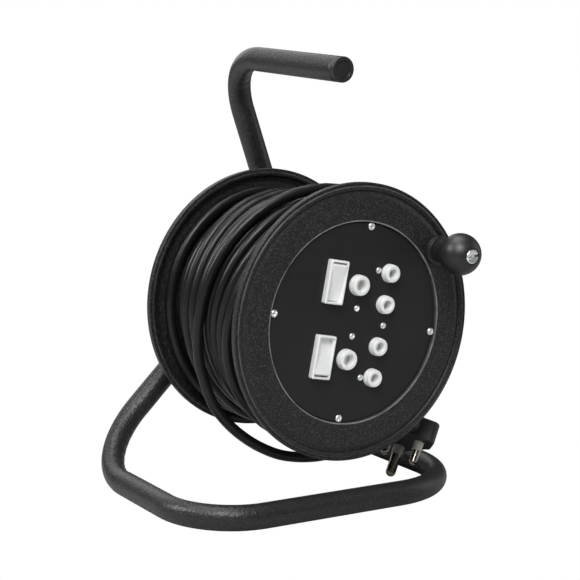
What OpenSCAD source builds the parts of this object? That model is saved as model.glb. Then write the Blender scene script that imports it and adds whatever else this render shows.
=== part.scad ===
// Extension cord reel: a drum with two switched round-pin sockets, turning on an axle in a
// bent tube stand, with its cord wound on and the plug hanging beside the base.
// Millimetres. The origin is on the floor, in the middle of the reel's box.
// +X is to the right seen from the sockets, +Y runs to the rear tube, +Z is up.

/* [Stand] */
// Outside diameter of the bent steel tube
tube_d = 20.3; // [19:0.1:21]
// Wall thickness of the tube
tube_wall = 1.5; // [1.2:0.1:2]
// Width of the base loop, between the tube centres
base_w = 262; // [256:1:280]
// Distance of the front run of the base from the origin
front_run = 82; // [78:1:90]
// Where the right run of the base ends
right_run_end = 98; // [80:1:100]
// Height of the drum's axis above the floor
axle_h = 153.7; // [150:0.1:160]
// Bend radius of the handle
handle_bend = 50; // [38:1:54]
// Bend radius of the back leg's knee
knee_bend = 50; // [40:1:56]
// Bend radius of the rear floor corner
rear_bend = 64; // [48:1:66]
// Bend radius of the front left floor corner
front_left_bend = 56; // [48:1:70]
// Bend radius of the front right floor corner
front_right_bend = 74; // [54:1:80]

/* [Drum] */
// Diameter of both flanges
flange_d = 223; // [220:1:226]
// Width of the drum over both flanges
drum_w = 142.7; // [141:0.1:146]
// Sheet thickness of the flanges
flange_t = 1.2; // [1:0.1:1.5]
// Outside diameter of the barrel that the cord winds on
barrel_d = 143; // [142:0.5:143]
// Diameter of the round socket panel
panel_d = 159.6; // [158:0.1:160]
// How far the drum has turned at rest, in degrees
drum_turn = 9.45; // [0:0.05:20]

/* [Cord] */
// Diameter of the cord
cord_d = 8.6; // [8.2:0.1:8.6]

/* [Sockets and plug] */
// Diameter of the earth pin
earth_pin_d = 8.71; // [8.7:0.01:8.75]
// Diameter of the live and neutral pins
line_pin_d = 7.05; // [7:0.01:7.1]
// Distance between the live and neutral pins
line_pin_gap = 25.4; // [25.4:0.1:25.5]
// Distance of the earth pin from the line through the other two
earth_pin_gap = 28.6; // [28.6:0.1:28.7]
// How far the pin collars of a socket stand out of the panel
collar_out = 6.3; // [4:0.1:7]
// Tilt of a rocker either side of level, in degrees
rocker_tilt = 11; // [8:0.5:12]

/* [Knob] */
// Diameter of the knob's ball
ball_d = 34; // [32:0.5:35]
// Distance of the knob from the drum's axis
knob_r = 95.2; // [94:0.1:97]

/* [Hidden] */
$fn = 96;
eps = 0.01;
bend_swell = 0.02;
bend_lap = 0.2;

// Stand: the corners of the tube's centre line, from the handle's end to the right run's end
tube_r = tube_d / 2;
leg_y = 110;
axle_x = 9.5;
floor_z = tube_r;
tube_corners = [[-5, -64, 351.6], [-5, leg_y, 359.6], [55.8, leg_y, 201.3],
    [-base_w / 2, leg_y, floor_z], [-base_w / 2, -front_run, floor_z],
    [base_w / 2, -front_run, floor_z], [base_w / 2, right_run_end, floor_z]];
tube_bends = [0, handle_bend, knee_bend, rear_bend, front_left_bend, front_right_bend, 0];
cap_head = 3;
cap_stem = 16;

// Drum: distances along its axis are from the front face of the front flange
flange_y = -76;
rim_r = flange_d / 2;
bead_r = 2.9;
bead_at = 107.4;
face_edge_r = 100.4;
groove_r = 104.8;
groove_deep = 1.9;
well_r = 80.6;
seat_y = 4.1;
seat_hole_r = 62;
lip_screw_r = 66.5;
barrel_r = barrel_d / 2;
barrel_wall = 1.5;
lip_t = 2;
panel_t = 2;
panel_face = seat_y - panel_t;
panel_screw_r = 77.3;

// Axle and hub
axle_d = 16;
axle_back = 198;
hub_long = 70;
hub_plate_t = 3;
hub_r = 13;
hub_bore_r = 10.05;
bush_long = 15;
bush_flange_t = 2;
bush_bore_r = axle_d / 2 + 0.05;
hub_back = drum_w - seat_y + hub_plate_t;
hub_front = hub_back - hub_long;
bush_flange_r = 14;
clip_groove_r = 7.2;

// Sockets and switches, in the plane of the panel
group_z = 0.3;
socket_z = 29.8;
line_x = 25.2;
earth_x = line_x - earth_pin_gap;
line_collar_r = 7.4;
earth_collar_r = 8.3;
line_bore_r = 3.8;
earth_bore_r = 4.65;
socket_base_t = 6;
socket_deep = 38;
socket_screw_spots = [[14.4, 43.5], [-0.6, 11.2], [28.2, 0], [-0.6, -11.2], [14.4, -43.5]];
switch_x = -26.6;
switch_w = 17.4;
switch_h = 34.8;
bezel_out = 5.2;
bezel_wall = 1.8;
switch_deep = 24;
rocker_l = 29;
rocker_w = 13.2;
rocker_sunk = 2.2;
pivot_back = 5;
pivot_r = 1.5;

// The cord's inner end and the wires
grommet_angle = -150;
grommet_y = 126;
inner_end_r = 57.5;
wire_d = 2.8;
line_contact_l = 24;
earth_contact_l = 31;

// Knob, with distances along its axis counted forwards from the flange's face
knob_angle = 44.8;
knob_reach = 46;
base_disc_t = 5;
neck_r = 10.2;
ball_r = ball_d / 2;
ball_at = 30;
spindle_r = 4;
thread_r = 3;
head_r = 5.8;
grip_start = base_disc_t + 0.3;
grip_end = 45.5;
recess_floor = 43;

// Cord on the drum, with distances along its axis
cord_r = cord_d / 2;
outer_layer_r = 93.2;
winding_front = 7.7;
winding_back = 140.3;

// The free end of the cord, which starts at the drum's left side, just clear of the wound turns,
// sags across under the drum and rises into the plug
cord_route = [[-93, -6, 153.7], [-93, -4.4, 142], [-92.4, -4, 127], [-90.2, -5.4, 111.5],
    [-86, -7.7, 96.5], [-80, -10, 82], [-71.6, -13, 70], [-62.5, -17.5, 60.2], [-52.6, -23, 52.1],
    [-42.8, -29, 46.2], [-32.5, -35, 42], [-22, -40.5, 40.2], [-11, -46, 40], [0.5, -51.5, 41.5],
    [13, -56.5, 44.3], [26, -60.4, 47.8], [39, -62.9, 51.7], [50.4, -64.3, 55.7], [59.9, -64.2, 59],
    [68.4, -62.4, 60.9], [76.4, -59.1, 61.5], [83.6, -54.5, 60.7], [89.9, -48.9, 58.5],
    [95, -42.4, 55.1]];
grip_points = 3;
route_steps = 2;

// Plug: its own X runs from neutral to live, Y to the earth pin and Z away from the pins
plug_at = [94.8, -35.5, 41.8];
plug_turn = [-32, 18, -37.5];
plug_t = 19;
plug_split = 9.5;
earth_pin_l = 28.6;
line_pin_l = 21.1;
collar_l = 8;
root_step = 0.6;
plug_outline = [[-18.5, -6, 6], [18.5, -6, 6], [19, 8, 5.5], [0, earth_pin_gap, 14], [-19, 8, 5.5]];

// ---------- helpers ----------

function unit(v) = v / norm(v);
function tangent_length(a, c, b, r) = r * tan(acos(unit(c - a) * unit(b - c)) / 2);

// A straight round bar from one point to another
module bar(from, to, d) {
    way = to - from;
    translate(from)
        rotate([0, acos(way.z / norm(way)), atan2(way.y, way.x)])
            cylinder(h = norm(way), d = d);
}

// The arc that rounds a corner of a bent bar. It is a hair thicker than the bar, so that the
// straights end inside it
module bend(a, c, b, r, d) {
    u = unit(c - a);
    v = unit(b - c);
    turn = acos(u * v);
    start = c - u * tangent_length(a, c, b, r);
    side = unit(v - u * (u * v));
    z = cross(-side, u);
    centre = start + side * r;
    multmatrix([[-side.x, u.x, z.x, centre.x], [-side.y, u.y, z.y, centre.y],
            [-side.z, u.z, z.z, centre.z], [0, 0, 0, 1]])
        rotate_extrude(angle = turn)
            translate([r, 0])
                circle(d = d + bend_swell);
}

// A bent bar along a list of corners, each with its bend radius
module bent_bar(corners, bends, d) {
    last = len(corners) - 1;
    cut = [for (i = [0:last]) bends[i] > 0
        ? tangent_length(corners[i - 1], corners[i], corners[i + 1], bends[i]) - bend_lap : 0];
    for (i = [0:last - 1]) {
        u = unit(corners[i + 1] - corners[i]);
        bar(corners[i] + u * cut[i], corners[i + 1] - u * cut[i + 1], d);
    }
    for (i = [1:last - 1])
        bend(corners[i - 1], corners[i], corners[i + 1], bends[i], d);
}

// Places children on the drum's axis, with Y counted from the front flange's face
module on_axis() {
    translate([axle_x, flange_y, axle_h])
        children();
}

// The same, turned with the drum as it stands at rest
module in_drum() {
    on_axis()
        rotate([0, drum_turn, 0])
            children();
}

// Turns a profile of radius and distance about the Y axis
module turned() {
    rotate([-90, 0, 0])
        rotate_extrude()
            children();
}

// A round bar or hole along Y
module rod(x, z, from, to, r) {
    translate([x, from, z])
        rotate([-90, 0, 0])
            cylinder(h = to - from, r = r);
}

// A ring along Y
module ring(from, to, inner, outer) {
    difference() {
        rod(0, 0, from, to, outer);
        rod(0, 0, from - 1, to + 1, inner);
    }
}

// A box in the panel's plane, centred on x and z, between two distances along Y
module slab(x, z, w, h, from, to) {
    translate([x - w / 2, from, z - h / 2])
        cube([w, to - from, h]);
}

// A pan-head screw with a cross recess; its head stands forwards of y
module pan_screw(x, z, y, head_d, head_h, shank_d, shank_l) {
    difference() {
        union() {
            translate([x, y, z])
                rotate([90, 0, 0])
                    intersection() {
                        cylinder(h = head_h, d = head_d);
                        translate([0, 0, head_h - head_d * 0.75])
                            sphere(d = head_d * 1.5);
                    }
            rod(x, z, y - eps, y + shank_l, shank_d / 2);
        }
        for (a = [0, 90])
            translate([x, y - head_h, z])
                rotate([0, a, 0])
                    cube([head_d * 0.55, head_h * 1.3, head_d * 0.14], center = true);
    }
}

// The point that a smooth curve through a route passes at a share of one of its steps
function curve_point(p, i, t) =
    let (a = p[max(i - 1, 0)], b = p[i], c = p[i + 1], d = p[min(i + 2, len(p) - 1)])
    0.5 * (2 * b + (c - a) * t + (2 * a - 5 * b + 4 * c - d) * t * t
        + (3 * b - a - 3 * c + d) * t * t * t);

// A smooth curve through a route, with steps points to each of its points
function curve(p, steps) = concat(
    [for (i = [0:len(p) - 2]) for (k = [0:steps - 1]) curve_point(p, i, k / steps)],
    [p[len(p) - 1]]);

// The direction of a line of points at one of them
function heading(p, i) = unit(p[min(i + 1, len(p) - 1)] - p[max(i - 1, 0)]);

// A tube swept along points, with a radius for each; up is never in line with it
module swept(p, radii, sides, up) {
    last = len(p) - 1;
    rings = [for (i = [0:last])
        let (t = heading(p, i), n = unit(cross(up, t)), b = cross(t, n))
            for (k = [0:sides - 1])
                p[i] + radii[i] * (cos(k * 360 / sides) * n + sin(k * 360 / sides) * b)];
    walls = [for (i = [0:last - 1]) for (k = [0:sides - 1])
        let (a = i * sides + k, b = i * sides + (k + 1) % sides)
            each [[a, b + sides, b], [a, a + sides, b + sides]]];
    start = [for (k = [1:sides - 2]) [0, k, k + 1]];
    end = [for (k = [1:sides - 2]) [last * sides, last * sides + k + 1, last * sides + k]];
    polyhedron(points = rings, faces = concat(walls, start, end), convexity = 10);
}

// The outline round a list of circles, each [x, y, radius], taken anticlockwise
module belt(circles) {
    n = len(circles);
    corners = [for (i = [0:n - 1])
        let (a = circles[i], b = circles[(i + 1) % n], dx = b[0] - a[0], dy = b[1] - a[1],
            out = atan2(dy, dx) - 90 + asin((b[2] - a[2]) / norm([dx, dy])),
            way = [cos(out), sin(out)])
            each [[a[0], a[1]] + a[2] * way, [b[0], b[1]] + b[2] * way]];
    polygon(corners);
    for (c = circles)
        translate([c[0], c[1]])
            circle(r = c[2]);
}

// ---------- stand ----------

// One length of steel tube, bent into the handle, the back leg and the loop on the floor
module frame_tube() {
    color([0.09, 0.09, 0.09])
        difference() {
            bent_bar(tube_corners, tube_bends, tube_d);
            bent_bar(tube_corners, tube_bends, tube_d - 2 * tube_wall);
            on_axis()
                rod(0, 0, 170, 200, axle_d / 2 + 0.03);
        }
}

// A moulded plug that closes an end of the tube, with a dished head
module end_cap(at, towards) {
    u = unit(towards - at);
    bore = tube_d - 2 * tube_wall;
    color([0.05, 0.05, 0.05])
        difference() {
            union() {
                bar(at - u * cap_head, at, tube_d);
                bar(at - u * eps, at + u * cap_stem, bore - 0.1);
            }
            bar(at - u * (cap_head + 1), at - u * (cap_head - 1.4), tube_d - 6);
            bar(at + u * 3, at + u * (cap_stem + 1), bore - 3.4);
        }
}

module handle_end_cap() {
    end_cap(tube_corners[0], tube_corners[1]);
}

module foot_end_cap() {
    end_cap(tube_corners[6], tube_corners[5]);
}

// The steel bar that the drum turns on, welded through the leg
module axle() {
    color("silver")
        on_axis()
            difference() {
                rod(0, 0, hub_front - 12, axle_back, axle_d / 2);
                ring(hub_front - 6.2, hub_front - 4.6, clip_groove_r, axle_d);
            }
}

// A sleeve that keeps the drum clear of the leg
module axle_spacer() {
    color("silver")
        on_axis()
            ring(hub_back + bush_flange_t + 2.4, leg_y - flange_y - tube_r - 0.1, bush_bore_r, 12);
}

module axle_washers() {
    color("gainsboro")
        on_axis() {
            ring(hub_back + bush_flange_t + 0.4, hub_back + bush_flange_t + 2.3, bush_bore_r, 15);
            ring(hub_front - bush_flange_t - 2.3, hub_front - bush_flange_t - 0.4, bush_bore_r, 15);
        }
}

// The open spring ring that holds the drum on the axle
module axle_circlip() {
    color("dimgray")
        on_axis()
            difference() {
                ring(hub_front - 6.0, hub_front - 4.8, clip_groove_r + 0.05, 11);
                slab(0, -8, 5, 16, hub_front - 8, hub_front - 3);
            }
}

// ---------- drum ----------

// The steel tube and plate that carry the drum's bearings
module hub() {
    color("silver")
        in_drum()
            difference() {
                union() {
                    rod(0, 0, hub_front, hub_back, hub_r);
                    rod(0, 0, hub_back - hub_plate_t, hub_back, 32);
                }
                rod(0, 0, hub_front - 1, hub_back + 1, hub_bore_r);
                for (a = [45:90:315])
                    rod(24 * cos(a), 24 * sin(a), hub_back - 10, hub_back + 1, 2.2);
            }
}

module hub_bushes() {
    color("ivory")
        in_drum() {
            ring(hub_back - bush_long, hub_back + eps, bush_bore_r, hub_bore_r - 0.02);
            ring(hub_back, hub_back + bush_flange_t, bush_bore_r, bush_flange_r);
            ring(hub_front, hub_front + bush_long, bush_bore_r, hub_bore_r - 0.02);
            ring(hub_front - bush_flange_t, hub_front + eps, bush_bore_r, bush_flange_r);
        }
}

// Rear-facing screws, four to a circle
module rear_screws(r, turn, y, head_d) {
    for (a = [0:90:270])
        rotate([0, a + turn, 0])
            translate([0, y, 0])
                rotate([0, 0, 180])
                    pan_screw(r, 0, 0, head_d, 2.2, 3.9, 7);
}

module hub_screws() {
    color("gainsboro")
        in_drum()
            rear_screws(24, 45, hub_back, 7.5);
}

module rear_flange_screws() {
    color("gainsboro")
        in_drum()
            rear_screws(lip_screw_r, 0, drum_w - seat_y, 7);
}

// The section of a pressed flange: a sunk well, a flat face, a shallow groove and a rolled rim
module flange_section(hole_r) {
    difference() {
        union() {
            translate([hole_r, seat_y])
                square([well_r + flange_t - hole_r, flange_t]);
            translate([well_r, 0])
                square([flange_t, seat_y + flange_t]);
            translate([well_r, 0])
                square([face_edge_r - well_r, flange_t]);
            polygon([[face_edge_r - 1.2, 0], [face_edge_r, 0], [groove_r, groove_deep],
                [bead_at - 1, groove_deep], [bead_at - 1, groove_deep + flange_t],
                [groove_r, groove_deep + flange_t], [face_edge_r - 0.3, flange_t],
                [face_edge_r - 1.2, flange_t]]);
            translate([bead_at, bead_r])
                circle(r = bead_r);
            polygon([[bead_at, 2 * bead_r], [bead_at, bead_r], [rim_r - 1.5, 0.6], [rim_r - 0.4, 0.6],
                [rim_r, 1], [rim_r, 5.2], [rim_r - 0.6, 2 * bead_r]]);
        }
        translate([rim_r - 1.8, 0.6])
            circle(r = 0.5, $fn = 24);
    }
}

module front_flange() {
    color([0.1, 0.1, 0.1])
        in_drum()
            difference() {
                turned()
                    flange_section(seat_hole_r);
                for (a = [0:90:270])
                    rod(panel_screw_r * cos(a), panel_screw_r * sin(a), seat_y - 1, 8, 1.7);
                rod(knob_r * cos(knob_angle), knob_r * sin(knob_angle), -1, 3, thread_r + 0.1);
            }
}

module rear_flange() {
    color([0.1, 0.1, 0.1])
        in_drum()
            difference() {
                translate([0, drum_w, 0])
                    mirror([0, 1, 0])
                        turned()
                            flange_section(hub_r + 0.1);
                for (a = [0:90:270])
                    rotate([0, a, 0])
                        rod(lip_screw_r, 0, drum_w - 9, drum_w, 2.05);
                for (a = [45:90:315])
                    rotate([0, a, 0])
                        rod(24, 0, drum_w - 9, drum_w, 2.05);
            }
}

// The rolled steel cylinder between the flanges, with a lip turned in at each end
module drum_barrel() {
    front = seat_y + flange_t;
    back = drum_w - seat_y - flange_t;
    color([0.16, 0.16, 0.16])
        in_drum()
            difference() {
                union() {
                    ring(front, back, barrel_r - barrel_wall, barrel_r);
                    ring(front, front + lip_t, seat_hole_r, barrel_r - 0.5);
                    ring(back - lip_t, back, seat_hole_r, barrel_r - 0.5);
                }
                for (a = [0:90:270])
                    rotate([0, a, 0])
                        rod(lip_screw_r, 0, back - lip_t - 1, back + 1, 2.0);
                translate([0, grommet_y, 0])
                    rotate([0, 90 - grommet_angle, 0])
                        translate([0, 0, barrel_r - 8])
                            cylinder(h = 12, r = 5.6);
            }
}

// ---------- panel, sockets and switches ----------

module socket_panel() {
    color([0.13, 0.13, 0.13])
        in_drum()
            difference() {
                rod(0, 0, panel_face, seat_y, panel_d / 2);
                for (a = [0:90:270])
                    rod(panel_screw_r * cos(a), panel_screw_r * sin(a), 0, 6, 2.1);
                for (s = [-1, 1]) {
                    rod(earth_x, group_z + s * socket_z, 0, 6, earth_collar_r + 0.15);
                    for (d = [-1, 1])
                        rod(line_x, group_z + s * socket_z + d * line_pin_gap / 2, 0, 6,
                            line_collar_r + 0.15);
                    slab(switch_x, group_z + s * socket_z, switch_w - 1, switch_h - 1, 0, 6);
                }
                for (p = socket_screw_spots)
                    rod(p[0], group_z + p[1], 0, 6, 1.7);
            }
}

module panel_screws() {
    color("gainsboro")
        in_drum()
            for (a = [0:90:270])
                pan_screw(panel_screw_r * cos(a), panel_screw_r * sin(a), panel_face, 6.4, 1.9, 3.2, 4);
}

module socket_screws() {
    color("gainsboro")
        in_drum()
            for (p = socket_screw_spots)
                pan_screw(p[0], group_z + p[1], panel_face, 5.3, 1.6, 2.8, 7.6);
}

// A stepped white collar that a pin goes through
module pin_collar(x, z, r) {
    front = panel_face - collar_out;
    rod(x, z, front + 0.6, seat_y + 1, r - 0.25);
    rod(x, z, front, front + 1, r - 0.8);
    rod(x, z, panel_face - 2.6, seat_y + 1, r);
}

// One socket: a moulding behind the panel with three collars through it. The side is 1 for
// the upper socket and -1 for the lower, which is its mirror image
module socket(side) {
    mid = side * socket_z;
    tongue_y = seat_y + 3 - side * 1.5;
    color("white")
        in_drum()
            translate([0, 0, group_z])
                difference() {
                    union() {
                        pin_collar(earth_x, mid, earth_collar_r);
                        for (d = [-1, 1])
                            pin_collar(line_x, mid + d * line_pin_gap / 2, line_collar_r);
                        slab(10.5, mid - side * 0.5, 44, 38, seat_y, seat_y + socket_base_t);
                        rod(14.4, side * 43.5, seat_y, seat_y + socket_base_t, 6);
                        slab(28.2, side * 6, 9, 14, tongue_y - 1.45, tongue_y + 1.45);
                        slab(28.2, 0, 9, 8, tongue_y - 1.45, tongue_y + 1.45);
                        rod(earth_x, mid, seat_y, seat_y + socket_deep, 7.6);
                        for (d = [-1, 1])
                            rod(line_x, mid + d * line_pin_gap / 2, seat_y, seat_y + socket_deep - 6, 6.8);
                    }
                    rod(earth_x, mid, -9, seat_y + 6, earth_bore_r);
                    rod(earth_x, mid, seat_y + 6, seat_y + socket_deep + 1, 5.6);
                    for (d = [-1, 1]) {
                        rod(line_x, mid + d * line_pin_gap / 2, -9, seat_y + 6, line_bore_r);
                        rod(line_x, mid + d * line_pin_gap / 2, seat_y + 6, seat_y + socket_deep, 4.7);
                    }
                    for (p = socket_screw_spots)
                        rod(p[0], p[1], seat_y - 1, seat_y + 8, 1.45);
                }
}

module upper_socket() {
    socket(1);
}

module lower_socket() {
    socket(-1);
}

// A brass sleeve that grips a pin, with its wire clamp behind
module contact(x, z, bore_r, outer_r, long) {
    back = seat_y + 6.2 + long;
    difference() {
        union() {
            rod(x, z, seat_y + 6.2, back, outer_r);
            slab(x, z, outer_r * 1.5, outer_r * 1.5, back - 1, back + 7);
        }
        rod(x, z, seat_y, back - 1.2, bore_r);
        rod(x, z, back + 1.5, back + 8, 1.7);
    }
}

module contacts(side) {
    mid = group_z + side * socket_z;
    color("goldenrod")
        in_drum() {
            contact(earth_x, mid, earth_pin_d / 2 + 0.05, 5.5, earth_contact_l);
            for (d = [-1, 1])
                contact(line_x, mid + d * line_pin_gap / 2, line_pin_d / 2 + 0.05, 4.6, line_contact_l);
        }
}

module upper_socket_contacts() {
    contacts(1);
}

module lower_socket_contacts() {
    contacts(-1);
}

// A switch: a white bezel in front of the panel and a closed box behind it
module switch_box(side) {
    z = group_z + side * socket_z;
    front = panel_face - bezel_out;
    inner_w = switch_w - 2 * bezel_wall;
    inner_h = switch_h - 2 * bezel_wall;
    color("white")
        in_drum()
            difference() {
                union() {
                    slab(switch_x, z, switch_w, switch_h, front + 0.8, panel_face);
                    slab(switch_x, z, switch_w - 1.2, switch_h - 1.2, front, panel_face);
                    slab(switch_x, z, switch_w - 1.2, switch_h - 1.2, panel_face - eps,
                        panel_face + switch_deep);
                }
                slab(switch_x, z, inner_w, inner_h, front - 1, front + 18);
                translate([switch_x - switch_w / 2 + 0.8, front + rocker_sunk + pivot_back, z])
                    rotate([0, 90, 0])
                        cylinder(h = switch_w - 1.6, r = pivot_r + 0.05);
            }
}

module upper_switch() {
    switch_box(1);
}

module lower_switch() {
    switch_box(-1);
}

// A rocker on its two stub pins, tipped by an angle: its top goes in when that is positive
module rocker(side, tip) {
    z = group_z + side * socket_z;
    y = panel_face - bezel_out + rocker_sunk + pivot_back;
    color("white")
        in_drum()
            translate([switch_x, y, z])
                rotate([-tip, 0, 0]) {
                    difference() {
                        slab(0, 0, rocker_w, rocker_l, -pivot_back, 0.5);
                        translate([0, -pivot_back - 118.6, 0])
                            rotate([0, 90, 0])
                                cylinder(h = rocker_w - 2, r = 119, center = true, $fn = 360);
                    }
                    slab(0, 0, rocker_w, 14, 0, 4);
                    rotate([0, 90, 0])
                        cylinder(h = rocker_w + 2.4, r = pivot_r, center = true);
                }
}

module upper_rocker() {
    rocker(1, -rocker_tilt);
}

module lower_rocker() {
    rocker(-1, rocker_tilt);
}

// Three brass tags behind each switch
module switch_terminals() {
    color("goldenrod")
        in_drum()
            for (s = [-1, 1])
                for (k = [-1, 0, 1])
                    slab(switch_x, group_z + s * socket_z + k * 9, 6.3, 0.8,
                        panel_face + switch_deep, panel_face + switch_deep + 8);
}

// ---------- inside the barrel ----------

// Stands children at the grommet, with Z pointing out through the barrel
module at_grommet() {
    in_drum()
        translate([0, grommet_y, 0])
            rotate([0, 90 - grommet_angle, 0])
                children();
}

// The rubber ring where the cord goes through the barrel, with its inner end of cord
module cord_grommet() {
    color([0.05, 0.05, 0.05])
        at_grommet() {
            translate([0, 0, barrel_r - 4])
                cylinder(h = 3.7, r = 5.5);
            translate([0, 0, barrel_r - barrel_wall - 2.7])
                cylinder(h = 2, r = 8);
            translate([0, 0, inner_end_r])
                cylinder(h = barrel_r - 3 - inner_end_r, r = cord_r);
        }
}

// A saddle that holds the cord's inner end
module cord_clamp() {
    color("white")
        at_grommet()
            difference() {
                translate([-8, -6, inner_end_r + 2])
                    cube([16, 12, 7.5]);
                translate([0, 0, inner_end_r + 1])
                    cylinder(h = 10, r = cord_r + 0.05);
            }
}

// A point inside the drum: a distance from the axis towards the grommet, one along the axis,
// and a small step sideways
function beside_grommet(r, y, side) = [
    r * cos(grommet_angle) - side * sin(grommet_angle), y,
    r * sin(grommet_angle) + side * cos(grommet_angle)];

// A wire that leaves the cord's inner end, runs forwards along the barrel, crosses behind the
// sockets and comes forwards to its tag. The earth wire runs nearer the axle than the others
module wire(side, ahead, turn_r, back_y, target) {
    in_drum()
        bent_bar([beside_grommet(inner_end_r - 0.1, grommet_y + ahead, side),
            beside_grommet(turn_r, grommet_y + ahead, side), beside_grommet(turn_r, back_y, side),
            [target.x, back_y + 4, target.z], target], [0, 5, 5, 5, 0], wire_d);
}

module live_wire() {
    color("saddlebrown")
        wire(-2.2, -1.5, 46, 48, [switch_x, panel_face + switch_deep + 8.1, group_z - socket_z]);
}

module neutral_wire() {
    color("royalblue")
        wire(2.2, -1.5, 46, 60,
            [line_x, seat_y + 6.2 + line_contact_l + 7.1, group_z - socket_z - line_pin_gap / 2]);
}

module earth_wire() {
    color("olivedrab")
        wire(0, 2.3, 40, 70, [earth_x, seat_y + 6.2 + earth_contact_l + 7.1, group_z - socket_z]);
}

// ---------- winding knob ----------

// Stands children at the knob, with Z pointing forwards out of the flange's face
module at_knob() {
    in_drum()
        translate([knob_r * cos(knob_angle), 0, knob_r * sin(knob_angle)])
            rotate([90, 0, 0])
                children();
}

module knob_base() {
    color([0.07, 0.07, 0.07])
        at_knob()
            difference() {
                union() {
                    cylinder(h = base_disc_t - 1.5, r = 12);
                    cylinder(h = base_disc_t, r = 10.6);
                }
                translate([0, 0, -1])
                    cylinder(h = base_disc_t + 2, r = spindle_r + 0.1);
            }
}

// The ball and neck, which turn freely on the spindle
module knob_grip() {
    fillet = 6;
    fillet_r = neck_r + fillet;
    fillet_at = ball_at - sqrt(pow(ball_r + fillet, 2) - pow(fillet_r, 2));
    touch = ball_r / (ball_r + fillet);
    color([0.06, 0.06, 0.06])
        at_knob()
            rotate_extrude()
                difference() {
                    union() {
                        translate([0, grip_start])
                            square([neck_r, 18]);
                        translate([0, ball_at])
                            circle(r = ball_r);
                        difference() {
                            polygon([[neck_r - 1, fillet_at], [neck_r, fillet_at],
                                [fillet_r * touch, ball_at + (fillet_at - ball_at) * touch],
                                [neck_r - 1, ball_at - 8]]);
                            translate([fillet_r, fillet_at])
                                circle(r = fillet);
                        }
                    }
                    translate([-ball_d, 0])
                        square([ball_d + spindle_r + 0.05, 60]);
                    translate([0, recess_floor])
                        square([head_r + 0.3, 10]);
                    translate([0, grip_end])
                        square([ball_d, 10]);
                }
}

// The zinc-plated screw that the knob turns on, with a thinner threaded end
module knob_spindle() {
    color("gainsboro")
        at_knob()
            difference() {
                union() {
                    translate([0, 0, recess_floor + 0.3])
                        cylinder(h = knob_reach - recess_floor - 0.3, r = head_r);
                    cylinder(h = recess_floor + 0.4, r = spindle_r);
                    translate([0, 0, -5.6])
                        cylinder(h = 5.7, r = thread_r);
                }
                translate([0, 0, knob_reach])
                    cube([head_r * 3, 1.5, 2.4], center = true);
            }
}

module knob_nut() {
    color("gainsboro")
        at_knob()
            difference() {
                rotate([0, 0, knob_angle - 30])
                    translate([0, 0, -flange_t - 4])
                        cylinder(h = 4, r = 5.55, $fn = 6);
                translate([0, 0, -8])
                    cylinder(h = 10, r = thread_r + 0.02);
            }
}

// ---------- cord ----------

// The two layers of turns next to the barrel, as one plain ring
module cord_core() {
    color([0.07, 0.07, 0.07])
        on_axis()
            ring(seat_y + flange_t + 1.4, drum_w - seat_y - flange_t - 1.4, barrel_r + 0.05,
                outer_layer_r - cord_r);
}

// The outer layer of turns, as a plain ring over the others
module cord_winding() {
    color([0.08, 0.08, 0.08])
        on_axis()
            ring(winding_front, winding_back, outer_layer_r - cord_r + 0.05, outer_layer_r + cord_r);
}

route = curve(cord_route, route_steps);
tail_points = len(route) - grip_points * route_steps;

// The free end, from the drum to the plug's strain relief
module cord_tail() {
    line = [for (i = [0:tail_points - 1]) route[i]];
    color([0.07, 0.07, 0.07])
        swept(line, [for (p = line) cord_r], 10, [0, 1, 0]);
}

// The tapered strain relief that guides the cord into the plug
module plug_cord_grip() {
    grip = [for (i = [tail_points - 1:len(route) - 1]) route[i]];
    last = len(grip) - 1;
    color([0.06, 0.06, 0.06])
        swept(grip, [for (i = [0:last]) cord_r + 0.7 + 2.4 * i / last], 12, [0, 1, 0]);
}

// ---------- plug ----------

module in_plug() {
    translate(plug_at)
        rotate(plug_turn)
            children();
}

module plug_base() {
    color([0.06, 0.06, 0.06])
        in_plug()
            difference() {
                linear_extrude(plug_split)
                    belt(plug_outline);
                translate([0, earth_pin_gap, -1])
                    cylinder(h = 7, r = 5.3);
                for (s = [-1, 1])
                    translate([s * line_pin_gap / 2, 0, -1])
                        cylinder(h = 7, r = 4.5);
                translate([0, 13, -1])
                    cylinder(h = 12, r = 1.7);
            }
}

module plug_cover() {
    color([0.07, 0.07, 0.07])
        in_plug()
            difference() {
                translate([0, 0, plug_split])
                    linear_extrude(plug_t - plug_split)
                        belt(plug_outline);
                translate([0, 13, plug_split - 1])
                    cylinder(h = 12, r = 1.9);
                translate([0, 13, plug_t - 2.6])
                    cylinder(h = 4, r = 3.6);
            }
}

module plug_screw() {
    color("gainsboro")
        in_plug()
            translate([0, 13, 0])
                difference() {
                    union() {
                        translate([0, 0, plug_t - 2.6])
                            cylinder(h = 2.1, r = 3.3);
                        translate([0, 0, 1])
                            cylinder(h = plug_t - 3.4, r = 1.6);
                    }
                    translate([0, 0, plug_t - 0.5])
                        cube([7, 0.9, 1.6], center = true);
                }
}

// A round pin with a domed end. Its root, in the collar and the base, is a little thinner
module plug_pin(x, y, d, long) {
    color("lightgray")
        in_plug()
            translate([x, y, 0]) {
                translate([0, 0, -long + d / 2])
                    cylinder(h = long - d / 2 - collar_l, d = d);
                translate([0, 0, -long + d / 2])
                    sphere(d = d);
                translate([0, 0, -collar_l - eps])
                    cylinder(h = collar_l + 5.8, d = d - root_step);
            }
}

module plug_earth_pin() {
    plug_pin(0, earth_pin_gap, earth_pin_d, earth_pin_l);
}

module plug_live_pin() {
    plug_pin(line_pin_gap / 2, 0, line_pin_d, line_pin_l);
}

module plug_neutral_pin() {
    plug_pin(-line_pin_gap / 2, 0, line_pin_d, line_pin_l);
}

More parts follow.
